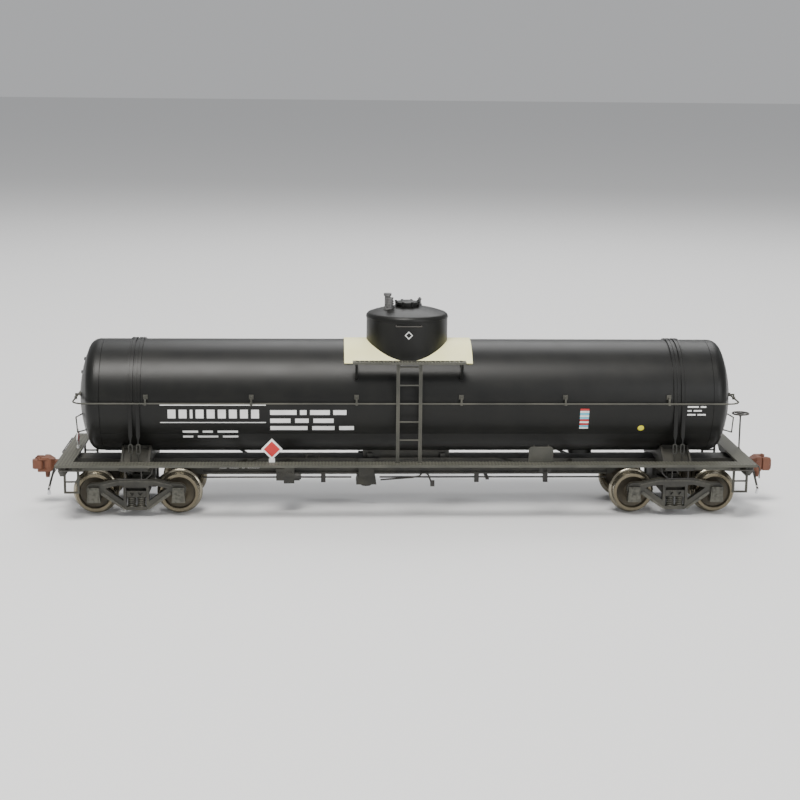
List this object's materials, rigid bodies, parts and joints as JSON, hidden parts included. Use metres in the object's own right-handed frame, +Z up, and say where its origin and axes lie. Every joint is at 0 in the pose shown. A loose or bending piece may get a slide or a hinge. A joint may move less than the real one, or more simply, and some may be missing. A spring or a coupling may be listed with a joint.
{
  "type": "model tank wagon",
  "caption": "Scale model of a bogie tank wagon with a dome, walkways, ladders, hand-brake staff, swivelling trucks and working couplers.",
  "frame": {"origin": "under the middle of the wagon, at the lowest point of the wheel flanges", "axes": "+X along the wagon towards the hand-brake end, +Y towards the far side, +Z up"},
  "size_m": [0.18, 0.0352, 0.0521],
  "materials": {
    "tank_black": "satin black moulded plastic",
    "frame_black": "matte weathered black moulded plastic",
    "truck_black": "matte weathered black moulded plastic",
    "board_grey": "matte grey-olive moulded plastic",
    "cream_paint": "flat pale cream paint",
    "valve_metal": "dark metallic paint",
    "wire_black": "thin wire painted black",
    "wheel_steel": "turned steel with a brown tint",
    "bare_steel": "bare steel",
    "rust_brown": "matte rust-brown metal",
    "hose_rubber": "matte black rubber-like plastic",
    "silver": "silver paint",
    "diamond_red": "red paint with a white edge"
  },
  "bodies": {
    "wagon": {"tank_barrel": "tank_black", "tank_head_a": "tank_black", "tank_head_b": "tank_black", "ballast_bar": "bare_steel", "tank_bands": "tank_black", "band_turnbuckles": "frame_black", "dome_shell": "tank_black", "dome_apron": "cream_paint", "manway_cover": "tank_black", "manway_bolts": "tank_black", "dome_valves": "valve_metal", "board_outriggers": "frame_black", "dome_grab_irons": "wire_black", "dome_walkways": "board_grey", "walkway_brackets": "tank_black", "ladders": "board_grey", "handrail": "board_grey", "handrail_posts": "board_grey", "head_grab_irons": "wire_black", "centre_sill": "frame_black", "body_bolsters": "frame_black", "tank_anchor": "frame_black", "running_boards": "board_grey", "end_platforms": "board_grey", "end_sills": "frame_black", "sill_steps": "frame_black", "wire_grabs": "wire_black", "placard_board": "board_grey", "placard_diamonds": "diamond_red", "brake_valve": "frame_black", "air_reservoir": "frame_black", "brake_cylinder": "frame_black", "brake_rods": "wire_black", "train_pipe": "frame_black", "bottom_outlet": "frame_black", "air_hoses": "hose_rubber", "glad_hands": "silver", "uncoupling_levers": "wire_black", "draft_boxes": "frame_black", "draft_box_lids": "frame_black", "chassis_screws": "bare_steel"},
    "truck_a": {"truck_bolster_a": "truck_black", "sideframes_a": "truck_black", "truck_springs_a": "truck_black"},
    "truck_b": {"truck_bolster_b": "truck_black", "sideframes_b": "truck_black", "truck_springs_b": "truck_black"},
    "wheelset_a1": {"axle_a1": "wheel_steel", "wheels_a1": "wheel_steel"},
    "wheelset_a2": {"axle_a2": "wheel_steel", "wheels_a2": "wheel_steel"},
    "wheelset_b1": {"axle_b1": "wheel_steel", "wheels_b1": "wheel_steel"},
    "wheelset_b2": {"axle_b2": "wheel_steel", "wheels_b2": "wheel_steel"},
    "coupler_a": {"coupler_a": "rust_brown"},
    "coupler_b": {"coupler_b": "rust_brown"},
    "knuckle_a": {"knuckle_a": "rust_brown"},
    "knuckle_b": {"knuckle_b": "rust_brown"},
    "brake_staff": {"brake_staff": "wire_black"}
  },
  "joints": [
    {"name": "truck_a_swing", "type": "hinge", "parent": "wagon", "child": "truck_a", "pos_m": [-0.064, 0, 0.00985], "axis": [0, 0, 1], "range_deg": [-10, 10]},
    {"name": "truck_b_swing", "type": "hinge", "parent": "wagon", "child": "truck_b", "pos_m": [0.064, 0, 0.00985], "axis": [0, 0, 1], "range_deg": [-10, 10]},
    {"name": "wheelset_a1_spin", "type": "hinge", "parent": "truck_a", "child": "wheelset_a1", "pos_m": [-0.0739, 0, 0.00541], "axis": [0, 1, 0], "continuous": true},
    {"name": "wheelset_a2_spin", "type": "hinge", "parent": "truck_a", "child": "wheelset_a2", "pos_m": [-0.0541, 0, 0.00541], "axis": [0, 1, 0], "continuous": true},
    {"name": "wheelset_b1_spin", "type": "hinge", "parent": "truck_b", "child": "wheelset_b1", "pos_m": [0.0541, 0, 0.00541], "axis": [0, 1, 0], "continuous": true},
    {"name": "wheelset_b2_spin", "type": "hinge", "parent": "truck_b", "child": "wheelset_b2", "pos_m": [0.0739, 0, 0.00541], "axis": [0, 1, 0], "continuous": true},
    {"name": "coupler_a_swing", "type": "hinge", "parent": "wagon", "child": "coupler_a", "pos_m": [-0.07765, 0, 0.0103], "axis": [0, 0, 1], "range_deg": [-8, 8]},
    {"name": "coupler_b_swing", "type": "hinge", "parent": "wagon", "child": "coupler_b", "pos_m": [0.07765, 0, 0.0103], "axis": [0, 0, 1], "range_deg": [-8, 8]},
    {"name": "knuckle_a_open", "type": "hinge", "parent": "coupler_a", "child": "knuckle_a", "pos_m": [-0.088, -0.0013, 0.0103], "axis": [0, 0, 1], "range_deg": [0, 20]},
    {"name": "knuckle_b_open", "type": "hinge", "parent": "coupler_b", "child": "knuckle_b", "pos_m": [0.088, 0.0013, 0.0103], "axis": [0, 0, 1], "range_deg": [0, 20]},
    {"name": "brake_staff_turn", "type": "hinge", "parent": "wagon", "child": "brake_staff", "pos_m": [0.08237, 0.0018, 0.017], "axis": [0, 0, 1], "continuous": true}
  ]
}
